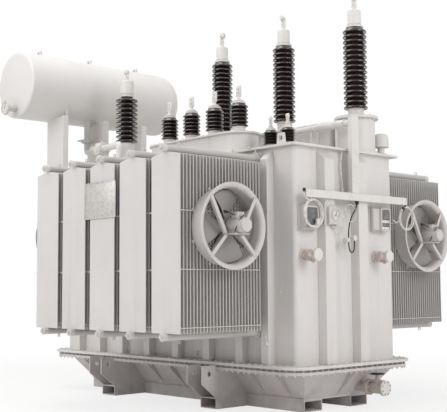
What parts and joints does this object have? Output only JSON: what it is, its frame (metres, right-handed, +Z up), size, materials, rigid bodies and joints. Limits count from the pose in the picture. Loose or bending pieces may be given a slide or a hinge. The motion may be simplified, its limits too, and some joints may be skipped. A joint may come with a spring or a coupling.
{
  "type": "power transformer",
  "caption": "Large oil-immersed power transformer on a skid base, with finned radiators and fans, an oil conservator drum and tall brown bushings.",
  "frame": {"origin": "middle of the whole footprint, on the ground", "axes": "+Z up, +X along the tank towards the end with the gauges, +Y towards the tall bushings"},
  "size_m": [6.6658, 5.104, 5.514],
  "materials": {
    "tank_paint": "satin light warm grey paint",
    "base_paint": "satin grey paint, a little dusty",
    "porcelain": "glossy dark brown glaze",
    "bushing_metal": "light grey cast metal",
    "radiator_paint": "satin light grey paint",
    "blade_paint": "light grey paint",
    "fan_paint": "light grey paint",
    "drum_paint": "satin light warm grey paint",
    "gauge_case": "grey instrument case",
    "lead_sheath": "off-white sheath",
    "valve_paint": "beige-grey painted casting",
    "wheel_paint": "black paint",
    "duct_paint": "light grey paint"
  },
  "bodies": {
    "transformer": {"aux_bushing_metal": "bushing_metal", "aux_insulators": "porcelain", "base_gussets": "base_paint", "base_skids": "base_paint", "cable_riser": "duct_paint", "cable_tray": "duct_paint", "conservator_beams": "drum_paint", "conservator_braces": "drum_paint", "conservator_columns": "drum_paint", "conservator_ends": "drum_paint", "conservator_shell": "drum_paint", "cover_conduit": "duct_paint", "cross_beams": "base_paint", "drain_valve": "valve_paint", "drum_fittings": "drum_paint", "fan_motors": "fan_paint", "fan_ring_1": "fan_paint", "fan_ring_2": "fan_paint", "fan_ring_3": "fan_paint", "fan_ring_4": "fan_paint", "far_radiator_1": "radiator_paint", "far_radiator_2": "radiator_paint", "far_radiator_3": "radiator_paint", "far_radiator_4": "radiator_paint", "far_radiator_5": "radiator_paint", "gauge_boxes": "gauge_case", "gauge_leads": "lead_sheath", "haul_plates": "base_paint", "hv_box": "tank_paint", "hv_bushing_metal": "bushing_metal", "hv_insulator_a": "porcelain", "hv_insulator_b": "porcelain", "hv_insulator_c": "porcelain", "hv_turret": "tank_paint", "level_gauge": "gauge_case", "lifting_lugs": "tank_paint", "lower_tank": "tank_paint", "lv_box": "tank_paint", "lv_bushing_metal": "bushing_metal", "lv_insulators": "porcelain", "near_radiator_1": "radiator_paint", "near_radiator_2": "radiator_paint", "near_radiator_3": "radiator_paint", "near_radiator_4": "radiator_paint", "near_radiator_5": "radiator_paint", "neutral_insulator": "porcelain", "neutral_metal": "bushing_metal", "relay_pipe": "tank_paint", "relief_valve": "tank_paint", "sampling_valves": "valve_paint", "tank": "tank_paint", "tank_cover": "tank_paint", "tank_ribs": "tank_paint"},
    "fan_1": {"fan_rotor_1": "blade_paint"},
    "fan_2": {"fan_rotor_2": "blade_paint"},
    "fan_3": {"fan_rotor_3": "blade_paint"},
    "fan_4": {"fan_rotor_4": "blade_paint"},
    "drain_wheel": {"drain_handwheel": "wheel_paint"}
  },
  "joints": [
    {"name": "fan_1_spin", "type": "hinge", "parent": "transformer", "child": "fan_1", "pos_m": [2.78, -1.87, 2.252], "axis": [1, 0, 0], "continuous": true},
    {"name": "fan_2_spin", "type": "hinge", "parent": "transformer", "child": "fan_2", "pos_m": [-0.436, -1.87, 2.252], "axis": [-1, 0, 0], "continuous": true},
    {"name": "fan_3_spin", "type": "hinge", "parent": "transformer", "child": "fan_3", "pos_m": [2.78, 1.87, 2.252], "axis": [1, 0, 0], "continuous": true},
    {"name": "fan_4_spin", "type": "hinge", "parent": "transformer", "child": "fan_4", "pos_m": [-0.436, 1.87, 2.252], "axis": [-1, 0, 0], "continuous": true},
    {"name": "drain_wheel_turn", "type": "hinge", "parent": "transformer", "child": "drain_wheel", "pos_m": [3.188, 0.35, 0.436], "axis": [0, 0, 1], "range_deg": [0, 720]}
  ]
}
